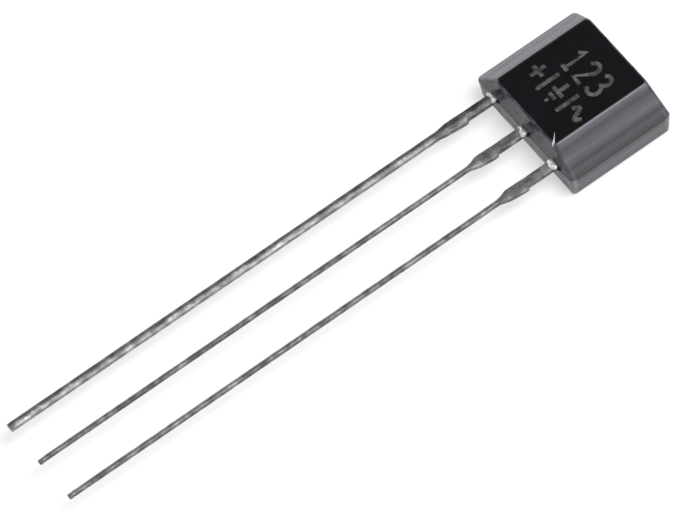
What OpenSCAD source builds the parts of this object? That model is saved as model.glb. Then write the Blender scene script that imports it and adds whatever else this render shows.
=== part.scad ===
// Linear Hall effect sensor in a flat three-lead transistor package.
// The sensor lies on its flat back: X runs across the leads, +Y points from the
// leads to the top of the case and +Z out of the marked front face.
// The origin is the middle of the back face. All sizes are in millimetres.

/* [Moulded case] */
// Width across the leads, at the parting plane
body_w = 4.0; // [3.8:0.05:4.6]
// Height along the leads, at the parting plane
body_h = 3.15; // [3:0.05:3.6]
// Thickness from the back face to the front face
body_t = 1.5; // [1.45:0.05:1.9]
// Height of the parting plane above the back face
part_z = 0.75; // [0.65:0.05:0.85]
// Width that each long chamfer takes off the front face
chamfer_w = 0.75; // [0.5:0.05:0.9]
// Draft of the top and bottom faces in front of the parting plane
front_draft = 0.105; // [0.03:0.005:0.15]
// Draft of all four sides behind the parting plane
back_draft = 0.05; // [0.02:0.01:0.1]
// Rounding of the edges of the front face
front_edge_r = 0.08; // [0.02:0.01:0.1]
// Rounding of the edges of the back face
back_edge_r = 0.12; // [0.04:0.01:0.16]
// Rounding of the four corners, at the parting plane
corner_r = 0.15; // [0.05:0.01:0.25]
// Diameter of the ejector pin mark on the back
ejector_d = 1.2; // [0.8:0.1:2]
// Depth of the ejector pin mark
ejector_depth = 0.03; // [0.02:0.01:0.06]

/* [Leads] */
// Spacing of the leads
pitch = 1.27; // [1.15:0.01:1.35]
// Length of the leads below the case
lead_l = 15.1; // [6:0.1:16]
// Thickness of the lead frame
lead_t = 0.15; // [0.12:0.01:0.2]
// Width of the supply lead below its shoulder
supply_w = 0.22; // [0.12:0.01:0.27]
// Width of the ground lead below its shoulder
ground_w = 0.14; // [0.12:0.01:0.27]
// Width of the output lead below its shoulder
output_w = 0.15; // [0.12:0.01:0.27]
// Width of the shoulder that each lead has next to the case
shoulder_w = 0.28; // [0.27:0.01:0.4]
// Distance from the case to the trimmed dam bar
dam_y = 0.93; // [0.6:0.01:1.2]
// Height of the trimmed dam bar
dam_h = 0.55; // [0.4:0.01:0.8]
// How far each trimmed dam bar end stands out of its shoulder
dam_stub = 0.03; // [0.01:0.005:0.06]
// Length of the taper from the dam bar to the narrow lead
taper_l = 0.25; // [0.1:0.01:0.5]

/* [Lead frame inside the case] */
// Length of the necks from the case wall to the bond posts
neck_l = 0.5; // [0.4:0.05:0.7]
// Height of the bond posts
post_h = 0.9; // [0.7:0.05:1.1]
// Moulding compound beside the bond posts, at the parting plane
side_cover = 0.4; // [0.3:0.05:0.5]
// Gap between the die paddle and the bond posts
frame_gap = 0.2; // [0.15:0.01:0.25]
// Depth of the notches that lock the lead frame into the case
lock_depth = 0.1; // [0.05:0.01:0.15]
// Height of the locking notches
lock_h = 0.25; // [0.15:0.01:0.35]

/* [Die and bond wires] */
// Width of the silicon die
die_w = 0.9; // [0.7:0.05:1]
// Height of the silicon die
die_h = 0.9; // [0.7:0.05:1]
// Thickness of the silicon die
die_t = 0.2; // [0.15:0.01:0.25]
// Distance from the top of the case to the middle of the die
die_from_top = 1.275; // [1.15:0.025:1.4]
// Thickness of the die attach adhesive
attach_t = 0.02; // [0.015:0.005:0.03]
// How far the adhesive squeezes out all round the die
attach_margin = 0.03; // [0.01:0.01:0.08]
// Paddle rim beside and above the die
paddle_rim = 0.25; // [0.15:0.01:0.28]
// Paddle rim below the die, where the ground wire lands
paddle_foot = 0.4; // [0.3:0.01:0.45]
// Diameter of the bond wires
wire_d = 0.03; // [0.025:0.001:0.038]
// Rise of the wire loops above the die
loop_h = 0.17; // [0.1:0.01:0.25]
// Distance from the die's edges to the middle of its bond pads
pad_inset = 0.1; // [0.08:0.01:0.15]
// Diameter of the ball at the die end of each wire
ball_d = 0.08; // [0.06:0.01:0.1]
// Thickness of the flattened ball
ball_t = 0.02; // [0.015:0.005:0.03]
// Length of the stitch at the lead end of each wire
stitch_l = 0.1; // [0.08:0.01:0.14]
// Thickness of the stitch
stitch_t = 0.012; // [0.01:0.001:0.02]

/* [Hidden] */

// Facets of one rounded edge, of a wire's section and of a wire's length
arc_steps = 4;
wire_sides = 8;
wire_rings = 16;
round_fn = 48;
// What a cutting solid reaches past the face that it cuts
overcut = 0.1;

// Levels, from the back face upwards
frame_bottom = part_z - lead_t / 2;
frame_top = part_z + lead_t / 2;
die_bottom = frame_top + attach_t;
die_top = die_bottom + die_t;

// Places along Y
case_bottom = -body_h / 2;
post_bottom = case_bottom + neck_l;
die_y = body_h / 2 - die_from_top;
die_foot = die_y - die_h / 2;
paddle_bottom = die_foot - paddle_foot;
paddle_top = die_y + die_h / 2 + paddle_rim;

// Places along X
paddle_w = die_w + 2 * paddle_rim;
post_inner = paddle_w / 2 + frame_gap;
post_outer = body_w / 2 - side_cover;

// Where the wires leave the die and where they land
pad_x = die_w / 2 - pad_inset;
pad_y = die_foot + pad_inset;
post_land = [(post_inner + post_outer) / 2, post_bottom + post_h * 0.75];
foot_land = [0, paddle_bottom + paddle_foot * 0.4];

function unit(v) = v / norm(v);

// Points of the arc that rounds corner c, which lies between points p and q
// of an outline that is convex and runs anticlockwise.
function corner_arc(p, c, q, r) =
    let (u = unit(p - c),
        v = unit(q - c),
        half = acos(u * v) / 2,
        centre = c + unit(u + v) * r / sin(half),
        first = c + u * r / tan(half) - centre,
        start = atan2(first[1], first[0]),
        turn = 180 - 2 * half)
    r == 0 ? [c] : [for (i = [0:arc_steps])
        let (a = start + turn * i / arc_steps) centre + r * [cos(a), sin(a)]];

// The outline with each corner rounded by its own radius.
function rounded(points, radii) =
    let (n = len(points))
    [for (i = [0:n - 1])
        each corner_arc(points[(i + n - 1) % n], points[i], points[(i + 1) % n], radii[i])];

// An outline from its right half and the mirror image of that half.
function both_halves(right) =
    concat(right, [for (i = [len(right) - 1:-1:0]) [-right[i][0], right[i][1]]]);

// Section of the case as the mould closes on it, sharp at the parting plane.
// half_back, half_mid and half_front are its half widths at the three levels.
module case_section(half_back, half_mid, half_front) {
    polygon(rounded(
        [[-half_back, 0], [half_back, 0], [half_mid, part_z],
            [half_front, body_t], [-half_front, body_t], [-half_mid, part_z]],
        [back_edge_r, back_edge_r, 0, front_edge_r, front_edge_r, 0]));
}

// Outline of the case at the parting plane, seen from the front.
module case_plan() {
    w = body_w / 2;
    h = body_h / 2;
    polygon(rounded([[w, -h], [w, h], [-w, h], [-w, -h]], [corner_r, corner_r, corner_r, corner_r]));
}

// The solid block of moulding compound, before anything is inside it.
module case_block() {
    intersection() {
        translate([0, body_h / 2, 0]) rotate([90, 0, 0]) linear_extrude(body_h)
            case_section(body_w / 2 - back_draft, body_w / 2, body_w / 2 - chamfer_w);
        translate([-body_w / 2, 0, 0]) rotate([90, 0, 90]) linear_extrude(body_w)
            case_section(body_h / 2 - back_draft, body_h / 2, body_h / 2 - front_draft);
        linear_extrude(body_t) case_plan();
    }
}

// Flat pieces of the lead frame, all stamped from one strip.
module stamped() {
    translate([0, 0, frame_bottom]) linear_extrude(lead_t) children();
}

// One lead from the case wall to its tip, with the trimmed dam bar.
module lead_outline(w) {
    shoulder = shoulder_w / 2;
    stub = shoulder + dam_stub;
    dam_end = dam_y + dam_h;
    translate([0, case_bottom]) polygon(both_halves([[w / 2, -lead_l],
        [w / 2, -dam_end - taper_l], [stub, -dam_end], [stub, -dam_y],
        [shoulder, -dam_y], [shoulder, 0]]));
}

// The neck and bond post of the right-hand lead, with its locking notch.
module post_outline() {
    notch_y = post_bottom + post_h / 2 - lock_h / 2;
    translate([pitch - shoulder_w / 2, case_bottom]) square([shoulder_w, neck_l + post_h / 2]);
    difference() {
        translate([post_inner, post_bottom]) square([post_outer - post_inner, post_h]);
        translate([post_outer - lock_depth, notch_y]) square([lock_depth + overcut, lock_h]);
    }
}

// The neck and the paddle that carries the die, with two locking notches.
module paddle_outline() {
    translate([-shoulder_w / 2, case_bottom])
        square([shoulder_w, paddle_top - case_bottom]);
    difference() {
        translate([-paddle_w / 2, paddle_bottom]) square([paddle_w, paddle_top - paddle_bottom]);
        for (side = [-1, 1])
            translate([side * paddle_w / 2 - lock_depth, paddle_bottom + lock_h])
                square([2 * lock_depth, lock_h]);
    }
}

// Middle line of a wire loop from point a to point b, at step t from 0 to 1:
// it stands upright at both ends and rises to loop_h above the die between them.
function loop_point(a, b, t) =
    let (crest = (8 * (die_top + loop_h) - a[2] - b[2]) / 6,
        across = 3 * t * t - 2 * t * t * t,
        p = a + (b - a) * across)
    [p[0], p[1], a[2] * pow(1 - t, 3) + 3 * crest * t * (1 - t) + b[2] * pow(t, 3)];

// Direction of that line at step t.
function loop_direction(a, b, t) =
    let (e = 0.001)
    t == 0 ? [0, 0, 1] : t == 1 ? [0, 0, -1]
        : unit(loop_point(a, b, t + e) - loop_point(a, b, t - e));

// The round wire itself, swept along the loop.
module wire_sweep(a, b) {
    flat = [b[0] - a[0], b[1] - a[1], 0];
    side = unit([-flat[1], flat[0], 0]);
    points = [for (i = [0:wire_rings])
        let (t = i / wire_rings, normal = cross(side, loop_direction(a, b, t)))
        for (k = [0:wire_sides - 1])
            let (angle = 360 * k / wire_sides)
            loop_point(a, b, t) + wire_d / 2 * (cos(angle) * side + sin(angle) * normal)];
    walls = [for (i = [0:wire_rings - 1]) for (k = [0:wire_sides - 1])
        let (first = i * wire_sides, next = (k + 1) % wire_sides)
        [first + k, first + wire_sides + k, first + wire_sides + next, first + next]];
    start_cap = [for (k = [0:wire_sides - 1]) k];
    end_cap = [for (k = [wire_sides - 1:-1:0]) wire_rings * wire_sides + k];
    polyhedron(points, concat([start_cap], walls, [end_cap]));
}

// A bond wire from a pad on the die to its landing place on the lead frame:
// a flattened ball, the loop and a pressed stitch.
module bond_wire(pad, land) {
    start = [pad[0], pad[1], die_top + ball_t / 2];
    end = [land[0], land[1], frame_top + stitch_t / 2];
    heading = atan2(land[1] - pad[1], land[0] - pad[0]);
    translate([pad[0], pad[1], die_top]) cylinder(d = ball_d, h = ball_t, $fn = wire_sides);
    wire_sweep(start, end);
    translate([land[0], land[1], frame_top]) rotate([0, 0, heading])
        translate([-stitch_l / 2, -wire_d, 0]) cube([stitch_l, 2 * wire_d, stitch_t]);
}

// The case is moulded round everything that it holds.
module moulded_body() {
    color("#26262a") difference() {
        case_block();
        translate([0, 0, -overcut]) cylinder(d = ejector_d, h = ejector_depth + overcut, $fn = round_fn);
        lead_supply();
        lead_ground();
        lead_output();
        die_attach();
        sensor_die();
        bond_wire_supply();
        bond_wire_ground();
        bond_wire_output();
    }
}

module lead_supply() {
    color("#a9abad") stamped() {
        translate([-pitch, 0]) lead_outline(supply_w);
        mirror([1, 0]) post_outline();
    }
}

module lead_ground() {
    color("#a9abad") stamped() {
        lead_outline(ground_w);
        paddle_outline();
    }
}

module lead_output() {
    color("#a9abad") stamped() {
        translate([pitch, 0]) lead_outline(output_w);
        post_outline();
    }
}

module die_attach() {
    w = die_w + 2 * attach_margin;
    h = die_h + 2 * attach_margin;
    color("#c9c4b4") translate([-w / 2, die_y - h / 2, frame_top]) cube([w, h, attach_t]);
}

module sensor_die() {
    color("#5d6470") translate([-die_w / 2, die_foot, die_bottom]) cube([die_w, die_h, die_t]);
}

module bond_wire_supply() {
    color("#d8b04a") bond_wire([-pad_x, pad_y], [-post_land[0], post_land[1]]);
}

module bond_wire_ground() {
    color("#d8b04a") bond_wire([0, pad_y], foot_land);
}

module bond_wire_output() {
    color("#d8b04a") bond_wire([pad_x, pad_y], post_land);
}

moulded_body();
lead_supply();
lead_ground();
lead_output();
die_attach();
sensor_die();
bond_wire_supply();
bond_wire_ground();
bond_wire_output();
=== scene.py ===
from math import cos, pi, radians, sin

import bmesh
import bpy
from mathutils import Matrix, Vector, noise


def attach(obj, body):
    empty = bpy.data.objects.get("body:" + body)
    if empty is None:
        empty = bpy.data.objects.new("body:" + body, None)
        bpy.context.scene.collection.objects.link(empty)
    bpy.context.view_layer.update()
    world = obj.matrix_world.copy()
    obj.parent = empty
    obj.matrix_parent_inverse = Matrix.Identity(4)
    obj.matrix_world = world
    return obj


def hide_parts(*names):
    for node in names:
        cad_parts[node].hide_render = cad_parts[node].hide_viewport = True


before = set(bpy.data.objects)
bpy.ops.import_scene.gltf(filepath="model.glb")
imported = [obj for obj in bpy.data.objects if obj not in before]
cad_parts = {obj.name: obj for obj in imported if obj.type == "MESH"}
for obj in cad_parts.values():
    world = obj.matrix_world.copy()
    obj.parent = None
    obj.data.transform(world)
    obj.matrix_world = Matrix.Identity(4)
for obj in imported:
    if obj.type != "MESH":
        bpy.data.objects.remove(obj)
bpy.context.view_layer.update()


# ---------------------------------------------------------------- moulded case
# The case is black epoxy filled with silica, pressed as a melt round the lead frame in a
# two-part steel mould. The mould's flat front and back cavities are polished, its sloping
# sides are left as the spark erosion made them, and a hair of flash marks where it closed.

mm = 0.001
case_w, case_h, case_t = 4.0 * mm, 3.15 * mm, 1.5 * mm
parting_z = 0.75 * mm
chamfer_w = 0.75 * mm
front_draft, back_draft = 0.105 * mm, 0.05 * mm
front_edge, back_edge, corner_edge = 0.045 * mm, 0.095 * mm, 0.1 * mm
front_edge_steps, back_edge_steps, corner_edge_steps = 3, 4, 4
ejector_r, ejector_depth, ejector_steps = 0.6 * mm, 0.03 * mm, 48
flash_proud, flash_thick = 0.006 * mm, 0.02 * mm
# The polished face lies a hair under the marking, which the laser foams up to full size
mark_proud = 0.002 * mm
face_z = case_t - mark_proud
# Points are level with each other, and points are one, when no further apart than this
level_gap, merge_gap = 1e-7, 0.001 * mm
# Edges sharper than this stay crisp; a face is polished if its normal points this far up
crease_angle, polished_upward = radians(80), 0.999


def srgb(code, alpha=1.0):
    """A colour written as sRGB hex, as the linear RGBA that the nodes take."""
    parts = [int(code[i:i + 2], 16) / 255 for i in (1, 3, 5)]
    return [c / 12.92 if c <= 0.04045 else ((c + 0.055) / 1.055) ** 2.4 for c in parts] + [alpha]


def add(tree, kind, inputs=None, stops=(), **settings):
    """A node with its settings; each input is a value or the socket that feeds it, and
    stops are the (place, sRGB hex) pairs of a colour ramp."""
    made = tree.nodes.new(kind)
    for key, value in settings.items():
        setattr(made, key, value)
    for key, value in (inputs or {}).items():
        if isinstance(value, bpy.types.NodeSocket):
            tree.links.new(value, made.inputs[key])
        else:
            made.inputs[key].default_value = value
    for _ in stops[2:]:
        made.color_ramp.elements.new(0.5)
    for i, (place, code) in enumerate(stops):
        made.color_ramp.elements[i].position = place
        made.color_ramp.elements[i].color = srgb(code)
    return made


def new_material(name):
    """An empty node material; returns it with its tree."""
    material = bpy.data.materials.new(name)
    material.use_nodes = True
    material.node_tree.nodes.clear()
    return material, material.node_tree


def polished_epoxy():
    """Epoxy pressed against polished steel: near black, smooth, with only a low satin sheen.
    The filler grains are drawn at 0.05 mm; the real ones, of about 0.02 mm, wouldn't show."""
    cloud_size, grain_size, grain_depth = 0.9 * mm, 0.05 * mm, 0.004 * mm
    material, tree = new_material("polished_epoxy")
    place = add(tree, "ShaderNodeTexCoord").outputs["Object"]
    cloud = add(tree, "ShaderNodeTexNoise",
                {"Vector": place, "Scale": 1 / cloud_size, "Detail": 2.0})
    grain = add(tree, "ShaderNodeTexNoise",
                {"Vector": place, "Scale": 1 / grain_size, "Detail": 4.0})
    colour = add(tree, "ShaderNodeValToRGB", {"Fac": cloud.outputs["Fac"]},
                 stops=[(0.38, "#060606"), (0.5, "#09090a"), (0.62, "#0a0a12")])
    speck = add(tree, "ShaderNodeValToRGB", {"Fac": grain.outputs["Fac"]},
                stops=[(0.62, "#000000"), (0.8, "#2c2c2e")])
    mixed = add(tree, "ShaderNodeMix", {"Factor": 1.0, "A": colour.outputs["Color"],
                                        "B": speck.outputs["Color"]},
                data_type="RGBA", blend_type="ADD")
    rough = add(tree, "ShaderNodeMapRange",
                {"Value": grain.outputs["Fac"], "To Min": 0.24, "To Max": 0.40})
    bump = add(tree, "ShaderNodeBump",
               {"Height": grain.outputs["Fac"], "Strength": 0.35, "Distance": grain_depth})
    shader = add(tree, "ShaderNodeBsdfPrincipled",
                 {"Base Color": mixed.outputs["Result"], "Roughness": rough.outputs["Result"],
                  "Normal": bump.outputs["Normal"], "IOR": 1.5, "Specular IOR Level": 0.25})
    add(tree, "ShaderNodeOutputMaterial", {"Surface": shader.outputs["BSDF"]})
    return material


def eroded_epoxy(name, mottle_stretch, dark, light, roughness, shine, painted_light_bands):
    """Epoxy pressed against spark-eroded steel: dark grey, mottled, finely pitted, semi-gloss.
    The pits are drawn at 0.04 mm, about twice their real size, so that they show."""
    pit_size, pit_depth = 0.04 * mm, 0.006 * mm
    mottle_size, mottle_depth = 0.12 * mm, 0.02 * mm
    wander_size, wander_height = 0.5 * mm, 0.06 * mm
    # The corners' paler grey is painted light
    speckle_size, corner_light_tone, corner_light_above_parting = 0.08 * mm, "#8a8a94", 0.3
    corner_light_start, corner_light_full, corner_light_uneven, corner_light_fade = 0.13 * mm, 0.03 * mm, 0.16 * mm, 0.03 * mm
    material, tree = new_material(name)
    place = add(tree, "ShaderNodeTexCoord").outputs["Object"]
    stretched = add(tree, "ShaderNodeMapping", {"Vector": place, "Scale": mottle_stretch})
    mottle = add(tree, "ShaderNodeTexNoise",
                 {"Vector": stretched.outputs["Vector"], "Scale": 1 / mottle_size, "Detail": 3.0})
    pitting = add(tree, "ShaderNodeTexNoise",
                  {"Vector": place, "Scale": 1 / pit_size, "Detail": 5.0})
    colour = add(tree, "ShaderNodeValToRGB", {"Fac": mottle.outputs["Fac"]},
                 stops=[(0.32, dark), (0.68, light)])
    # Bands of painted light and shade follow the height with a slow wander
    wander = add(tree, "ShaderNodeTexNoise", {"Vector": place, "Scale": 1 / wander_size})
    apart = add(tree, "ShaderNodeSeparateXYZ", {"Vector": place})
    height = apart.outputs["Z"]
    shifted = add(tree, "ShaderNodeMath", {0: wander.outputs["Fac"], 1: wander_height, 2: height},
                  operation="MULTIPLY_ADD")
    level = add(tree, "ShaderNodeMapRange",
                {"Value": shifted.outputs["Value"], "From Min": wander_height / 2,
                 "From Max": case_t + wander_height / 2})
    painted_light_band = add(tree, "ShaderNodeValToRGB", {"Fac": level.outputs["Result"]}, stops=painted_light_bands)
    with_painted_light = add(tree, "ShaderNodeMix", {"Factor": 1.0, "A": colour.outputs["Color"],
                                         "B": painted_light_band.outputs["Color"]},
                 data_type="RGBA", blend_type="MULTIPLY")
    # The four corners are painted a paler grey, a painted reflection, more so on their upright
    # lower half. The chamfers lean in by as much as they rise, so their height is added to the
    # distance.
    lean = add(tree, "ShaderNodeMath", {0: height, 1: -parting_z}, operation="ADD")
    risen = add(tree, "ShaderNodeMath", {0: lean.outputs["Value"], 1: 0.0}, operation="MAXIMUM")
    off_middle = [add(tree, "ShaderNodeMath", {0: apart.outputs[axis]},
                      operation="ABSOLUTE").outputs["Value"] for axis in "XY"]
    across = add(tree, "ShaderNodeMath", {0: off_middle[0], 1: risen.outputs["Value"]},
                 operation="ADD").outputs["Value"]
    speckle = add(tree, "ShaderNodeTexNoise", {"Vector": place, "Scale": 1 / speckle_size})
    tone_shift = add(tree, "ShaderNodeMapRange",
                 {"Value": height, "From Min": parting_z - corner_light_fade,
                  "From Max": parting_z + corner_light_fade, "To Min": 1.0,
                  "To Max": corner_light_above_parting}).outputs["Result"]
    for distance, half_size in ((across, case_w / 2), (off_middle[1], case_h / 2)):
        uneven = add(tree, "ShaderNodeMath",
                     {0: speckle.outputs["Fac"], 1: corner_light_uneven, 2: distance},
                     operation="MULTIPLY_ADD")
        near = add(tree, "ShaderNodeMapRange",
                   {"Value": uneven.outputs["Value"], "From Min": half_size - corner_light_start,
                    "From Max": half_size + corner_light_full})
        tone_shift = add(tree, "ShaderNodeMath", {0: tone_shift, 1: near.outputs["Result"]},
                     operation="MULTIPLY").outputs["Value"]
    # The corners' painted light is mixed in here
    tone = add(tree, "ShaderNodeMix", {"Factor": tone_shift, "A": with_painted_light.outputs["Result"],
                                       "B": srgb(corner_light_tone)}, data_type="RGBA")
    rough = add(tree, "ShaderNodeMapRange",
                {"Value": mottle.outputs["Fac"], "From Min": 0.3, "From Max": 0.7,
                 "To Min": roughness[0], "To Max": roughness[1]})
    pits = add(tree, "ShaderNodeBump",
               {"Height": pitting.outputs["Fac"], "Strength": 0.5, "Distance": pit_depth})
    bump = add(tree, "ShaderNodeBump",
               {"Height": mottle.outputs["Fac"], "Strength": 0.3, "Distance": mottle_depth,
                "Normal": pits.outputs["Normal"]})
    shader = add(tree, "ShaderNodeBsdfPrincipled",
                 {"Base Color": tone.outputs["Result"], "Roughness": rough.outputs["Result"],
                  "Normal": bump.outputs["Normal"], "IOR": 1.5, "Specular IOR Level": shine})
    add(tree, "ShaderNodeOutputMaterial", {"Surface": shader.outputs["BSDF"]})
    return material


def new_piece(name, shape, materials, replaced):
    """Makes the object from a bmesh, at the origin, and hangs it on the part's one body."""
    mesh = bpy.data.meshes.new(name)
    shape.to_mesh(mesh)
    shape.free()
    for material in materials:
        mesh.materials.append(material)
    piece = bpy.data.objects.new(name, mesh)
    bpy.context.collection.objects.link(piece)
    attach(piece, "root")
    if replaced:
        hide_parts(replaced)
    return piece


def round_edges(shape, chosen, size, steps):
    """Rolls the chosen edges of a bmesh over within a distance."""
    bmesh.ops.bevel(shape, geom=chosen, offset=size, offset_type="OFFSET", segments=steps,
                    profile=0.5, material=-1, affect="EDGES", clamp_overlap=True)


def edges_at(shape, z):
    """The edges of a bmesh that lie level at a height."""
    return [e for e in shape.edges if all(abs(v.co.z - z) < level_gap for v in e.verts)]


# A block is cut at the heights where its walls change their slope, and each level is then
# scaled to its own width and height
case = bmesh.new()
bmesh.ops.create_cube(case, size=1.0)
bmesh.ops.translate(case, verts=case.verts, vec=(0, 0, 0.5))
bmesh.ops.scale(case, verts=case.verts, vec=(1, 1, face_z))
flash_w, flash_h = case_w - 2 * flash_proud, case_h - 2 * flash_proud
levels = [
    (0.0, case_w - 2 * back_draft, case_h - 2 * back_draft),
    (parting_z - flash_thick / 2, flash_w, flash_h),
    (parting_z, case_w, case_h),
    (parting_z + flash_thick / 2, flash_w, flash_h),
    (face_z, case_w - 2 * chamfer_w, case_h - 2 * front_draft),
]
for z, _, _ in levels[1:-1]:
    bmesh.ops.bisect_plane(case, geom=case.verts[:] + case.edges[:] + case.faces[:],
                           plane_co=(0, 0, z), plane_no=(0, 0, 1))
for z, width, height in levels:
    ring = [v for v in case.verts if abs(v.co.z - z) < level_gap]
    bmesh.ops.scale(case, verts=ring, vec=(width, height, 1))

upright = [e for e in case.edges if abs(e.verts[0].co.z - e.verts[1].co.z) > level_gap]
round_edges(case, upright, corner_edge, corner_edge_steps)
# Nothing of the rounded corners may stand out past the flash
for vert in case.verts:
    vert.co.x = max(-case_w / 2, min(case_w / 2, vert.co.x))
    vert.co.y = max(-case_h / 2, min(case_h / 2, vert.co.y))
round_edges(case, edges_at(case, 0.0), back_edge, back_edge_steps)
round_edges(case, edges_at(case, face_z), front_edge, front_edge_steps)
bmesh.ops.remove_doubles(case, verts=case.verts, dist=merge_gap)

# The ejector pin's mark is a shallow round step in the back
back_face = min(case.faces, key=lambda f: f.calc_center_median().z)
rim_edges = list(back_face.edges)
bmesh.ops.delete(case, geom=[back_face], context="FACES_ONLY")
pin_verts = bmesh.ops.create_circle(case, cap_ends=True, radius=ejector_r,
                                    segments=ejector_steps)["verts"]
pin_face = next(f for f in case.faces if set(f.verts) == set(pin_verts))
pin_edges = list(pin_face.edges)
sunk = bmesh.ops.extrude_face_region(case, geom=[pin_face])["geom"]
bmesh.ops.translate(case, verts=[v for v in sunk if isinstance(v, bmesh.types.BMVert)],
                    vec=(0, 0, ejector_depth))
bmesh.ops.poke(case, faces=[f for f in sunk if isinstance(f, bmesh.types.BMFace)])
bmesh.ops.delete(case, geom=[f for f in case.faces if set(f.verts) == set(pin_verts)],
                 context="FACES_ONLY")
bmesh.ops.triangle_fill(case, use_beauty=True, use_dissolve=False, edges=rim_edges + pin_edges)
bmesh.ops.recalc_face_normals(case, faces=case.faces)

# Tones of the painted bands of light and shade, each with its place between the case's back and
# its front
# The right chamfer's pale top band is a painted highlight along the front edge
right_light_and_shade_bands = [(0.0, "#989898"), (0.3, "#d0d0d0"), (0.5, "#484848"), (0.6, "#b0b0b0"),
               (0.65, "#606060"), (0.75, "#e0e0e0"), (0.9, "#8c8c8c"), (1.0, "#f4f4f4")]
# The left chamfer's dark top band is painted shade along the front edge
left_light_and_shade_bands = [(0.0, "#989898"), (0.3, "#d0d0d0"), (0.45, "#909090"), (0.55, "#f8f8f8"),
              (0.68, "#747474"), (0.8, "#e8e8e8"), (0.9, "#c8c8c8"), (1.0, "#303030")]
# The ends are painted darker below the parting line: painted shade towards the table
end_light_and_shade_bands = [(0.0, "#808080"), (0.4, "#8c8c8c"), (0.56, "#dcdcdc"), (0.9, "#e4e4e4")]
polished = polished_epoxy()
case_finishes = [
    polished,
    eroded_epoxy("eroded_epoxy_sides_painted_light", mottle_stretch=(1.0, 0.06, 1.0), dark="#50505a",
                 light="#6c6c78", roughness=(0.2, 0.34), shine=0.5, painted_light_bands=right_light_and_shade_bands),
    eroded_epoxy("eroded_epoxy_ends_painted_light", mottle_stretch=(0.5, 1.0, 0.5), dark="#28282e",
                 light="#6c6c76", roughness=(0.1, 0.36), shine=0.22, painted_light_bands=end_light_and_shade_bands),
    eroded_epoxy("eroded_epoxy_left_painted_light", mottle_stretch=(1.0, 0.06, 1.0), dark="#464656",
                 light="#6c6c80", roughness=(0.2, 0.34), shine=0.5, painted_light_bands=left_light_and_shade_bands),
]
on_flat, on_right, on_ends, on_left = range(4)
for face in case.faces:
    across, along, upward = (abs(n) for n in face.normal)
    if upward > polished_upward:
        face.material_index = on_flat
    elif across < along:
        face.material_index = on_ends
    else:
        face.material_index = on_right if face.normal.x > 0 else on_left
    face.smooth = True
for edge in case.edges:
    edge.smooth = edge.calc_face_angle() < crease_angle
case_piece = new_piece("case", case, case_finishes, "moulded_body")
weighted = case_piece.modifiers.new("even_shading", "WEIGHTED_NORMAL")
weighted.keep_sharp = True


# --------------------------------------------------------------- laser marking
# Below the pin numbers stand general signs for what each pin does: positive supply, ground
# and signal. A laser burns them in, which foams the epoxy into a thin pale grey crust.

mark_height, mark_width, mark_stroke = 0.72 * mm, 0.33 * mm, 0.132 * mm
mark_depth = 0.006 * mm
upper_row, upper_pitch, upper_middle = 0.47 * mm, 0.5 * mm, 0.05 * mm
lower_row, lower_pitch, lower_middle = -0.47 * mm, 0.41 * mm, 0.03 * mm
wave_steps = 16
# The strokes are torn while they are in millimetres: tears per mm, and their depth
mark_voxel, tears = 0.014, [(22.0, 0.011), (60.0, 0.006)]


def arc(centre, radii, start, end, steps=10):
    """Points of an elliptic arc; the angles are in degrees."""
    turns = [radians(start + (end - start) * i / steps) for i in range(steps + 1)]
    return [(centre[0] + radii[0] * cos(t), centre[1] + radii[1] * sin(t)) for t in turns]


# Each sign is a set of strokes in a box one unit wide and high
signs = {
    "one": [[(0.15, 0.74), (0.55, 1.0), (0.55, 0.0)], [(0.2, 0.0), (0.9, 0.0)]],
    "two": [arc((0.5, 0.74), (0.45, 0.26), 165, -30) + [(0.04, 0.0), (0.98, 0.0)]],
    "three": [arc((0.45, 0.76), (0.42, 0.24), 150, -90)
              + arc((0.45, 0.27), (0.5, 0.27), 85, -155)],
    "plus": [[(0.5, 0.18), (0.5, 0.82)], [(-0.1, 0.5), (1.1, 0.5)]],
    "bar": [[(0.5, 0.0), (0.5, 1.0)]],
    "ground": [[(0.5, 1.0), (0.5, 0.52)], [(-0.1, 0.52), (1.1, 0.52)],
               [(0.13, 0.27), (0.87, 0.27)], [(0.38, 0.02), (0.62, 0.02)]],
    "wave": [[(i / wave_steps * 1.2 - 0.1, 0.5 + 0.22 * sin(2 * pi * i / wave_steps))
              for i in range(wave_steps + 1)]],
}
rows = [(["one", "two", "three"], upper_row, upper_pitch, upper_middle),
        (["plus", "bar", "ground", "bar", "wave"], lower_row, lower_pitch, lower_middle)]


def foamed_epoxy():
    """Epoxy burnt by the laser: a matt pale grey crust, uneven in tone. The crust's bubbles
    are drawn at 0.03 mm, coarser than the real ones of 0.01 mm."""
    patch_size, bubble_size, bubble_depth = 0.16 * mm, 0.03 * mm, 0.01 * mm
    material, tree = new_material("laser_foamed_epoxy")
    place = add(tree, "ShaderNodeTexCoord").outputs["Object"]
    patch = add(tree, "ShaderNodeTexNoise",
                {"Vector": place, "Scale": 1 / patch_size, "Detail": 3.0})
    crust = add(tree, "ShaderNodeTexNoise",
                {"Vector": place, "Scale": 1 / bubble_size, "Detail": 3.0})
    colour = add(tree, "ShaderNodeValToRGB", {"Fac": patch.outputs["Fac"]},
                 stops=[(0.32, "#373735"), (0.5, "#525250"), (0.68, "#6a6a68")])
    bump = add(tree, "ShaderNodeBump",
               {"Height": crust.outputs["Fac"], "Strength": 0.5, "Distance": bubble_depth})
    shader = add(tree, "ShaderNodeBsdfPrincipled",
                 {"Base Color": colour.outputs["Color"], "Roughness": 0.8,
                  "Normal": bump.outputs["Normal"], "Specular IOR Level": 0.2})
    add(tree, "ShaderNodeOutputMaterial", {"Surface": shader.outputs["BSDF"]})
    return material


def settled_mesh(source):
    """The mesh that an object has after its modifiers, as a bmesh; the object is removed."""
    graph = bpy.context.evaluated_depsgraph_get()
    shape = bmesh.new()
    shape.from_mesh(source.evaluated_get(graph).to_mesh())
    data = source.data
    bpy.data.objects.remove(source)
    if isinstance(data, bpy.types.Curve):
        bpy.data.curves.remove(data)
    else:
        bpy.data.meshes.remove(data)
    return shape


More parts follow.
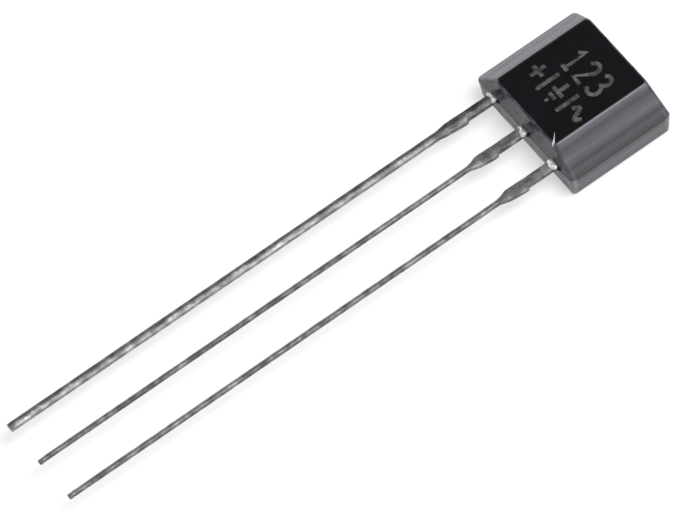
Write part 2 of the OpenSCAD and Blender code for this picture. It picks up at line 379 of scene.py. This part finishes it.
def fused(shape, voxel_size):
    """Solids that overlap in a bmesh, run together into one closed skin; sizes are in mm."""
    mesh = bpy.data.meshes.new("blank")
    shape.to_mesh(mesh)
    shape.free()
    blank = bpy.data.objects.new("blank", mesh)
    bpy.context.collection.objects.link(blank)
    remesh = blank.modifiers.new("fused", "REMESH")
    remesh.mode = "VOXEL"
    remesh.voxel_size = voxel_size
    return settled_mesh(blank)


# The strokes are drawn as round rods in millimetres, fused, given ragged edges and pressed
# flat; only then do they get their place on the face
rods = bpy.data.curves.new("mark_rods", "CURVE")
rods.dimensions = "3D"
rods.bevel_depth = mark_stroke / mm / 2
rods.bevel_resolution = 2
rods.use_fill_caps = True
for names, row_y, sign_pitch, middle in rows:
    for place_in_row, sign in enumerate(names):
        left = middle + (place_in_row - (len(names) - 1) / 2) * sign_pitch - mark_width / 2
        for stroke in signs[sign]:
            spline = rods.splines.new("POLY")
            spline.points.add(len(stroke) - 1)
            for point, (u, v) in zip(spline.points, stroke):
                point.co = ((left + u * mark_width) / mm,
                            (row_y + (v - 0.5) * mark_height) / mm, 0, 1)
rods_object = bpy.data.objects.new("mark_rods", rods)
bpy.context.collection.objects.link(rods_object)
marks = fused(settled_mesh(rods_object), mark_voxel)
for vert in marks.verts:
    torn = sum(noise.noise(vert.co * per_mm) * depth for per_mm, depth in tears)
    vert.co += Vector((vert.normal.x, vert.normal.y, 0)) * torn
top = max(v.co.z for v in marks.verts)
for vert in marks.verts:
    vert.co = Vector((vert.co.x * mm, vert.co.y * mm,
                      case_t + (vert.co.z / top - 1) * mark_depth / 2))
bmesh.ops.recalc_face_normals(marks, faces=marks.faces)
new_piece("laser_marks", marks, [foamed_epoxy()], None)


# -------------------------------------------------------------------- edge chip
# Trimming has knocked a crumb out of the front face's lower right edge. The fresh break
# shows the pale silica filler, and a thin scratch runs from it over the polished face.

# Where the scratch and then the break run, and their half width there, all in mm
chip_path = [(0.93, -1.24, 1.4975, 0.004), (1.0, -1.3, 1.498, 0.008),
             (1.06, -1.35, 1.498, 0.014), (1.11, -1.395, 1.496, 0.022),
             (1.15, -1.43, 1.49, 0.036), (1.175, -1.462, 1.47, 0.042),
             (1.185, -1.477, 1.44, 0.03), (1.19, -1.485, 1.4, 0.014)]
chip_half_t, chip_points = 0.012, 10
# The scratch faces this way, and below this height in mm the break dips by this much
chip_run_x, chip_run_y, dip_below, chip_dip = 0.62, -0.55, 1.495, -0.6
crumbs_per_m, crumb_depth = 9000.0, 0.008 * mm
chip_sunk = 0.0005 * mm
# Breaks and melted lumps are uneven; the seed makes them come out the same each time
flaw_seed = 3


def broken_epoxy():
    """A fresh break in filled epoxy: pale, matt and sugary with silica grains."""
    grain_size, grain_depth = 0.02 * mm, 0.01 * mm
    material, tree = new_material("broken_epoxy")
    place = add(tree, "ShaderNodeTexCoord").outputs["Object"]
    grains = add(tree, "ShaderNodeTexVoronoi", {"Vector": place, "Scale": 1 / grain_size})
    colour = add(tree, "ShaderNodeValToRGB", {"Fac": grains.outputs["Distance"]},
                 stops=[(0.2, "#f0f0f2"), (0.9, "#a8a8ac")])
    bump = add(tree, "ShaderNodeBump",
               {"Height": grains.outputs["Distance"], "Strength": 0.5, "Distance": grain_depth})
    shader = add(tree, "ShaderNodeBsdfPrincipled",
                 {"Base Color": colour.outputs["Color"], "Roughness": 0.6,
                  "Normal": bump.outputs["Normal"]})
    add(tree, "ShaderNodeOutputMaterial", {"Surface": shader.outputs["BSDF"]})
    return material


def ring_edges(shape, ring):
    """The edges between the vertices of a ring in a bmesh, in their order."""
    return [shape.edges.get(ends) for ends in zip(ring, ring[1:] + ring[:1])]


def skin_over(shape, rings, sides):
    """Joins rings of edges in a bmesh into one closed skin, capped at both ends."""
    for first, second in zip(rings, rings[1:]):
        bmesh.ops.bridge_loops(shape, edges=first + second)
    bmesh.ops.holes_fill(shape, edges=rings[0] + rings[-1], sides=sides)


noise.seed_set(flaw_seed)
chip = bmesh.new()
rings = []
for x, y, z, half_w in chip_path:
    ring = bmesh.ops.create_circle(chip, radius=1.0, segments=chip_points)["verts"]
    bmesh.ops.scale(chip, verts=ring, vec=(half_w * mm, min(half_w, chip_half_t) * mm, 1))
    facing = Vector((chip_run_x, chip_run_y, 0 if z > dip_below else chip_dip))
    bmesh.ops.rotate(chip, verts=ring, matrix=facing.to_track_quat("Z", "Y").to_matrix(),
                     cent=(0, 0, 0))
    bmesh.ops.translate(chip, verts=ring, vec=Vector((x, y, z)) * mm)
    rings.append(ring_edges(chip, ring))
skin_over(chip, rings, chip_points)
for vert in chip.verts:
    vert.co += noise.noise_vector(vert.co * crumbs_per_m) * crumb_depth
    vert.co.z = min(vert.co.z, case_t - chip_sunk)
bmesh.ops.recalc_face_normals(chip, faces=chip.faces)
new_piece("edge_chip", chip, [broken_epoxy()], None)


# ----------------------------------------------------------------- painted shade
# A small black lump stands against the case at the right side of each lead, just above it:
# painted shade of the lead.

wall = -case_h / 2
# Each lump's place across the case, then half its width and half its height
shade_lumps = {"supply": (-1.09 * mm, 0.07 * mm, 0.05 * mm), "ground": (0.2 * mm, 0.1 * mm, 0.08 * mm),
        "output": (1.45 * mm, 0.08 * mm, 0.07 * mm)}
shade_lump_reach, shade_lump_lift = 0.035 * mm, 0.02 * mm
shade_lump_tears_per_m, shade_lump_tear_depth = 12000.0, 0.04 * mm
for lead_name, (shade_lump_x, half_w, half_h) in shade_lumps.items():
    shade_lump = bmesh.new()
    lump = bmesh.ops.create_icosphere(shade_lump, subdivisions=4, radius=1.0)["verts"]
    bmesh.ops.scale(shade_lump, verts=lump, vec=(half_w, shade_lump_reach, half_h))
    bmesh.ops.translate(shade_lump, verts=lump, vec=(shade_lump_x, wall, parting_z + shade_lump_lift))
    for vert in shade_lump.verts:
        vert.co += noise.noise_vector(vert.co * shade_lump_tears_per_m) * shade_lump_tear_depth
    for face in shade_lump.faces:
        face.smooth = True
    new_piece("painted_shade_" + lead_name, shade_lump, [polished], None)


# ----------------------------------------------------------------------- leads
# The three leads are stamped from thin copper alloy strip together with the frame inside
# the case, then plated with matt tin. The dam bar that joined them is cut away after
# moulding and leaves a short stub on both sides of each shoulder.

pitch = 1.27 * mm
lead_l, lead_t, shoulder_w = 15.1 * mm, 0.15 * mm, 0.28 * mm
lead_widths = {"lead_supply": (-pitch, 0.24 * mm), "lead_ground": (0.0, 0.14 * mm),
               "lead_output": (pitch, 0.15 * mm)}
# Going out from the case, in mm: distance from it, then how far the shoulder stands out of
# its own half width to the left and to the right, where the trimming left the longer stub
dam_profile = [(-0.25, 0.0, 0.0), (0.02, 0.0, 0.0), (0.5, 0.002, 0.002), (0.9, 0.0, 0.0),
               (0.925, 0.002, 0.05), (1.0, 0.006, 0.052), (1.15, 0.01, 0.046),
               (1.3, 0.014, 0.03), (1.45, 0.012, 0.012)]
shoulder_end, taper_middle, taper_end = 1.55 * mm, 1.6 * mm, 1.76 * mm
# Halfway down the taper: this share of the lead's width, and this much more on each side
middle_share, middle_left, middle_right = 0.32, 0.06 * mm, 0.075 * mm
shoulder_rounding, lead_rounding = 0.03 * mm, 0.055 * mm
section_points, lead_steps = 20, 90
# The edges waver by this much, each edge of each lead along its own row of the noise
waver, wavers_per_m, rows_per_m, side_rows = 0.004 * mm, 4000.0, 5000.0, (0.0, 7.0)
# The cut tips lose this much of their length, half width and thickness to their rounding
tip_run, tip_narrower, tip_thinner = 0.012 * mm, 0.01 * mm, 0.02 * mm
# Between these distances from the case the shoulders' tone of tin gives way to the leads'
tone_from, tone_to = 1.4 * mm, 2.4 * mm
# The tin of the supply lead is darker from its left edge to here
dull_line = -pitch + 0.03 * mm
# Normals past these belong to a tip, to a broad lead's flat, and to a slim one's left edge
tip_normal, flat_normal, left_normal = 0.95, 0.97, -0.3


def matt_tin(name, low, high, worn, shoulder_share, roughness, dull_side=None):
    """Matt tin on rolled copper alloy: grey with fine lengthwise lines and paler patches.
    The rolling lines are drawn 0.04 mm wide, some four times coarser than they are."""
    line_width, line_depth, patch_size = 0.04 * mm, 0.006 * mm, 0.13 * mm
    wander_size, wander_reach, dull_fade, dull_share = 0.5 * mm, 0.1 * mm, 0.05 * mm, 0.4
    material, tree = new_material(name)
    place = add(tree, "ShaderNodeTexCoord").outputs["Object"]
    drawn = add(tree, "ShaderNodeMapping", {"Vector": place, "Scale": (1.0, 0.12, 1.0)})
    lines = add(tree, "ShaderNodeTexNoise",
                {"Vector": drawn.outputs["Vector"], "Scale": 1 / line_width, "Detail": 3.0})
    spread = add(tree, "ShaderNodeMapping", {"Vector": place, "Scale": (0.7, 0.5, 0.7)})
    patch = add(tree, "ShaderNodeTexNoise",
                {"Vector": spread.outputs["Vector"], "Scale": 1 / patch_size, "Detail": 4.0})
    apart = add(tree, "ShaderNodeSeparateXYZ", {"Vector": place})
    # The shoulders were clamped in the hot mould, so their tin has another tone
    toned = add(tree, "ShaderNodeMapRange",
                {"Value": apart.outputs["Y"], "From Min": wall - tone_to,
                 "From Max": wall - tone_from, "To Min": 1.0, "To Max": shoulder_share})
    share = toned.outputs["Result"]
    if dull_side:
        # The tin is darker along the left edge, as far as this wandering line
        wander = add(tree, "ShaderNodeTexNoise", {"Vector": place, "Scale": 1 / wander_size})
        line = add(tree, "ShaderNodeMath", {0: wander.outputs["Fac"], 1: wander_reach,
                                            2: apart.outputs["X"]}, operation="MULTIPLY_ADD")
        tone_shift = add(tree, "ShaderNodeMapRange",
                     {"Value": line.outputs["Value"], "From Min": dull_side,
                      "From Max": dull_side + dull_fade, "To Min": dull_share, "To Max": 1.0})
        share = add(tree, "ShaderNodeMath", {0: share, 1: tone_shift.outputs["Result"]},
                    operation="MULTIPLY").outputs["Value"]
    colour = add(tree, "ShaderNodeValToRGB", {"Fac": patch.outputs["Fac"]},
                 stops=[(0.38, low), (0.6, high), (0.68, worn)])
    shade = add(tree, "ShaderNodeMix", {"Factor": 1.0, "A": colour.outputs["Color"], "B": share},
                data_type="RGBA", blend_type="MULTIPLY")
    rough = add(tree, "ShaderNodeMapRange",
                {"Value": patch.outputs["Fac"], "From Min": 0.3, "From Max": 0.7,
                 "To Min": roughness[1], "To Max": roughness[0]})
    bump = add(tree, "ShaderNodeBump",
               {"Height": lines.outputs["Fac"], "Strength": 0.25, "Distance": line_depth})
    shader = add(tree, "ShaderNodeBsdfPrincipled",
                 {"Base Color": shade.outputs["Result"], "Metallic": 1.0,
                  "Roughness": rough.outputs["Result"], "Normal": bump.outputs["Normal"]})
    add(tree, "ShaderNodeOutputMaterial", {"Surface": shader.outputs["BSDF"]})
    return material


# The broad supply lead has pale flats and darker edges: the sheared tin's own duller tone with
# painted shade on top. The slim leads are dull all over but for their left edges, which carry a
# painted highlight.
broad_finishes = [
    matt_tin("matt_tin_plating", "#949496", "#cacacc", "#ffffff", shoulder_share=0.54,
             roughness=(0.5, 0.65), dull_side=dull_line),
    # Darker edges: the sheared tin's own tone and painted shade
    matt_tin("tin_on_edge_dull_and_painted_shade", "#7c7c7e", "#9f9fa1", "#b0b0b2", shoulder_share=0.62,
             roughness=(0.45, 0.6)),
]
slim_finishes = [
    matt_tin("dull_tin_plating", "#646466", "#88888a", "#9a9a9c", shoulder_share=1.1,
             roughness=(0.53, 0.65)),
    # Pale left edges: a painted highlight
    matt_tin("tin_on_left_edge_painted_highlight", "#c0c0c2", "#e4e4e6", "#f0f0f2", shoulder_share=0.3,
             roughness=(0.5, 0.65)),
]


def rounded_section(shape, centre, width, thickness, radius, y):
    """The edges round a strip's section, with its corners rolled over."""
    ring = bmesh.ops.create_circle(shape, radius=1.0, segments=section_points)["verts"]
    bmesh.ops.rotate(shape, verts=ring, cent=(0, 0, 0),
                     matrix=Matrix.Rotation(pi / section_points, 3, "Z"))
    for vert in ring:
        side, face = vert.co.x, vert.co.y
        vert.co = (centre[0] + (width / 2 - radius) * (1 if side > 0 else -1) + radius * side, y,
                   centre[1] + (thickness / 2 - radius) * (1 if face > 0 else -1) + radius * face)
    return ring_edges(shape, ring)


for node_name, (x, lead_w) in lead_widths.items():
    # Each station is a distance from the case, with how far the lead reaches left and right
    stations = [(out * mm, shoulder_w / 2 + left * mm, shoulder_w / 2 + right * mm)
                for out, left, right in dam_profile]
    stations.append((taper_middle, lead_w * middle_share + middle_left,
                     lead_w * middle_share + middle_right))
    for i in range(lead_steps + 1):
        out = taper_end + (lead_l - tip_run - taper_end) * i / lead_steps
        left, right = (lead_w / 2 + waver * noise.noise((out * wavers_per_m, x * rows_per_m, row))
                       for row in side_rows)
        stations.append((out, left, right))
    stations.append((lead_l, lead_w / 2 - tip_narrower, lead_w / 2 - tip_narrower))
    lead = bmesh.new()
    rings = []
    for out, left, right in stations:
        thickness = lead_t - (tip_thinner if out == lead_l else 0)
        rounding = shoulder_rounding if out < shoulder_end else lead_rounding
        rings.append(rounded_section(lead, (x + (right - left) / 2, parting_z), left + right,
                                     thickness, rounding, wall - out))
    skin_over(lead, rings, section_points)
    bmesh.ops.recalc_face_normals(lead, faces=lead.faces)
    broad = node_name == "lead_supply"
    for face in lead.faces:
        face.smooth = abs(face.normal.y) < tip_normal
        on_edge = abs(face.normal.z) < flat_normal if broad else face.normal.x < left_normal
        face.material_index = on_edge
    piece = new_piece(node_name.replace("lead_", "tinned_lead_"), lead,
                      broad_finishes if broad else slim_finishes, node_name)
    piece.modifiers.new("even_shading", "WEIGHTED_NORMAL")


# ------------------------------------------------------------------- tin beads
# Where each lead leaves the case the plating has piled up in a small bead, the largest of them on
# the output lead; its pale, partly diffuse tin is a painted highlight. Each bead is a few lumps
# that have run together.

# Each lump's place across the case, half its width and how far it reaches along the lead.
# The beads are made in millimetres, and only then get their real size.
beads = {"supply": [(-1.37, 0.08, 0.08), (-1.25, 0.1, 0.07), (-1.16, 0.06, 0.1)],
         "ground": [(-0.08, 0.07, 0.07), (0.05, 0.1, 0.1), (0.12, 0.06, 0.12)],
         "output": [(1.2, 0.09, 0.1), (1.31, 0.12, 0.12), (1.39, 0.06, 0.08)]}
bead_half_t, bead_outside = 0.06, 0.6
bead_voxel, bead_smoothings = 0.01, 6
dents_per_mm, dent_depth = 14.0, 0.006


def bead_tin_with_painted_highlight():
    """Tin that has run and set with a frosted skin, half matt; its pale, partly diffuse tone is a
    painted highlight.
    """
    frost_size = 0.06 * mm
    material, tree = new_material("bead_tin_painted_highlight")
    place = add(tree, "ShaderNodeTexCoord").outputs["Object"]
    skin = add(tree, "ShaderNodeTexNoise", {"Vector": place, "Scale": 1 / frost_size})
    colour = add(tree, "ShaderNodeValToRGB", {"Fac": skin.outputs["Fac"]},
                 stops=[(0.3, "#d8d8da"), (0.7, "#fafafa")])
    shader = add(tree, "ShaderNodeBsdfPrincipled",
                 {"Base Color": colour.outputs["Color"], "Metallic": 0.6, "Roughness": 0.45})
    add(tree, "ShaderNodeOutputMaterial", {"Surface": shader.outputs["BSDF"]})
    return material


bead_finish = bead_tin_with_painted_highlight()
lead_top = parting_z + lead_t / 2
for lead_name, lumps in beads.items():
    bead = bmesh.new()
    for bead_x, across, along in lumps:
        lump = bmesh.ops.create_icosphere(bead, subdivisions=3, radius=1.0)["verts"]
        bmesh.ops.scale(bead, verts=lump, vec=(across, along, bead_half_t))
        bmesh.ops.translate(bead, verts=lump,
                            vec=(bead_x, wall / mm - bead_outside * along, lead_top / mm))
    bead = fused(bead, bead_voxel)
    for _ in range(bead_smoothings):
        bmesh.ops.smooth_vert(bead, verts=bead.verts, factor=0.5,
                              use_axis_x=True, use_axis_y=True, use_axis_z=True)
    for vert in bead.verts:
        vert.co += noise.noise_vector(vert.co * dents_per_mm) * dent_depth
    bmesh.ops.scale(bead, verts=bead.verts, vec=(mm, mm, mm))
    bmesh.ops.recalc_face_normals(bead, faces=bead.faces)
    for face in bead.faces:
        face.smooth = True
    new_piece("tin_bead_" + lead_name, bead, [bead_finish], None)


# ----------------------------------------------------------------- inner parts
# Inside the case the silicon die is glued to the paddle of the ground lead with silver-filled
# adhesive, and three gold wires join its pads to the lead frame. None of it shows.

def plain_finish(name, low, high, grain_size, metallic, roughness):
    """A finish for what never shows: two near tones of the real one, in its own grain."""
    material, tree = new_material(name)
    place = add(tree, "ShaderNodeTexCoord").outputs["Object"]
    grain = add(tree, "ShaderNodeTexNoise", {"Vector": place, "Scale": 1 / grain_size})
    colour = add(tree, "ShaderNodeValToRGB", {"Fac": grain.outputs["Fac"]},
                 stops=[(0.3, low), (0.7, high)])
    shader = add(tree, "ShaderNodeBsdfPrincipled",
                 {"Base Color": colour.outputs["Color"], "Metallic": metallic,
                  "Roughness": roughness})
    add(tree, "ShaderNodeOutputMaterial", {"Surface": shader.outputs["BSDF"]})
    return material


silicon = plain_finish("polished_silicon", "#4f5663", "#68707e", grain_size=0.2 * mm,
                       metallic=0.6, roughness=0.2)
adhesive = plain_finish("silver_filled_adhesive", "#a39f93", "#c3bfb2", grain_size=0.05 * mm,
                        metallic=0.3, roughness=0.6)
gold = plain_finish("drawn_gold_wire", "#d8ab45", "#e6bf62", grain_size=0.05 * mm,
                    metallic=1.0, roughness=0.25)
inner_finishes = {"sensor_die": silicon, "die_attach": adhesive, "bond_wire_supply": gold,
                  "bond_wire_ground": gold, "bond_wire_output": gold}
for node_name, material in inner_finishes.items():
    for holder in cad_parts[node_name].material_slots:
        holder.material = material


# ----------------------------------------------------------------------- stage
# A white table under soft light: one broad box above, a lower one to the right and a
# weak one to the left, with a dim room round them.

floor_size = 1.0
# A hair below the case's back, so that the two faces don't flicker through each other
floor_z = -0.001 * mm
floor_glow, room_strength = 0.52, 0.22
floor_mesh = bmesh.new()
bmesh.ops.create_grid(floor_mesh, x_segments=1, y_segments=1, size=floor_size / 2)
bmesh.ops.translate(floor_mesh, verts=floor_mesh.verts, vec=(0, 0, floor_z))
floor_data = bpy.data.meshes.new("floor")
floor_mesh.to_mesh(floor_data)
floor_mesh.free()
floor = bpy.data.objects.new("floor", floor_data)
bpy.context.collection.objects.link(floor)
# The table glows only for the camera and in reflections, so that it is white there
white_table, tree = new_material("white_table")
ray = add(tree, "ShaderNodeLightPath")
seen = add(tree, "ShaderNodeMath",
           {0: ray.outputs["Is Camera Ray"], 1: ray.outputs["Is Glossy Ray"]},
           operation="MAXIMUM")
lift = add(tree, "ShaderNodeMath", {0: seen.outputs["Value"], 1: floor_glow},
           operation="MULTIPLY")
paint_tone = add(tree, "ShaderNodeMix", {"Factor": seen.outputs["Value"], "A": srgb("#e8e8e8"),
                                         "B": srgb("#c8c8c8")}, data_type="RGBA")
paint = add(tree, "ShaderNodeBsdfDiffuse", {"Color": paint_tone.outputs["Result"]})
glow = add(tree, "ShaderNodeEmission",
           {"Color": srgb("#ffffff"), "Strength": lift.outputs["Value"]})
both = add(tree, "ShaderNodeAddShader", {0: paint.outputs["BSDF"], 1: glow.outputs["Emission"]})
add(tree, "ShaderNodeOutputMaterial", {"Surface": both.outputs["Shader"]})
floor_data.materials.append(white_table)


def softbox(name, towards, distance, width, height, radiance):
    """A rectangular area light that faces the part from the direction given."""
    light = bpy.data.lights.new(name, "AREA")
    light.shape = "RECTANGLE"
    light.size, light.size_y = width, height
    light.energy = radiance * pi * width * height
    lamp = bpy.data.objects.new(name, light)
    away = Vector(towards).normalized()
    lamp.location = away * distance
    lamp.rotation_euler = away.to_track_quat("Z", "Y").to_euler()
    bpy.context.collection.objects.link(lamp)


softbox("top_box", (0.281, 0.243, 0.928), distance=0.25, width=0.13, height=0.13, radiance=8.0)
softbox("right_box", (0.854, 0.2, 0.457), distance=0.25, width=0.14, height=0.18, radiance=2.0)
softbox("left_box", (-0.9, -0.3, 0.35), distance=0.3, width=0.2, height=0.15, radiance=2.5)

room = bpy.data.worlds.new("room")
room.use_nodes = True
room.node_tree.nodes.clear()
room_glow = add(room.node_tree, "ShaderNodeBackground",
                {"Color": srgb("#ffffff"), "Strength": room_strength})
add(room.node_tree, "ShaderNodeOutputWorld", {"Surface": room_glow.outputs["Background"]})
bpy.context.scene.world = room
bpy.context.scene.view_settings.view_transform = "Standard"

# The camera looks down on the marked face from the right, turned a little on its own axis
camera_azimuth, camera_elevation, camera_roll = radians(62.069), radians(58.785), radians(-9.984)
camera_distance = 300 * mm
aim = Vector((-1.081, -6.782, -1.346)) * mm
backward = Vector((sin(camera_azimuth) * cos(camera_elevation),
                   -cos(camera_azimuth) * cos(camera_elevation), sin(camera_elevation)))
level_right = Vector((cos(camera_azimuth), sin(camera_azimuth), 0))
level_up = backward.cross(level_right)
right = level_right * cos(camera_roll) + level_up * sin(camera_roll)
up = backward.cross(right)
camera_data = bpy.data.cameras.new("camera")
camera_data.lens = 629.8
camera_data.sensor_width = 36
camera = bpy.data.objects.new("camera", camera_data)
turn = Matrix((right, up, backward)).transposed().to_4x4()
camera.matrix_world = Matrix.Translation(aim + backward * camera_distance) @ turn
bpy.context.collection.objects.link(camera)
bpy.context.scene.camera = camera
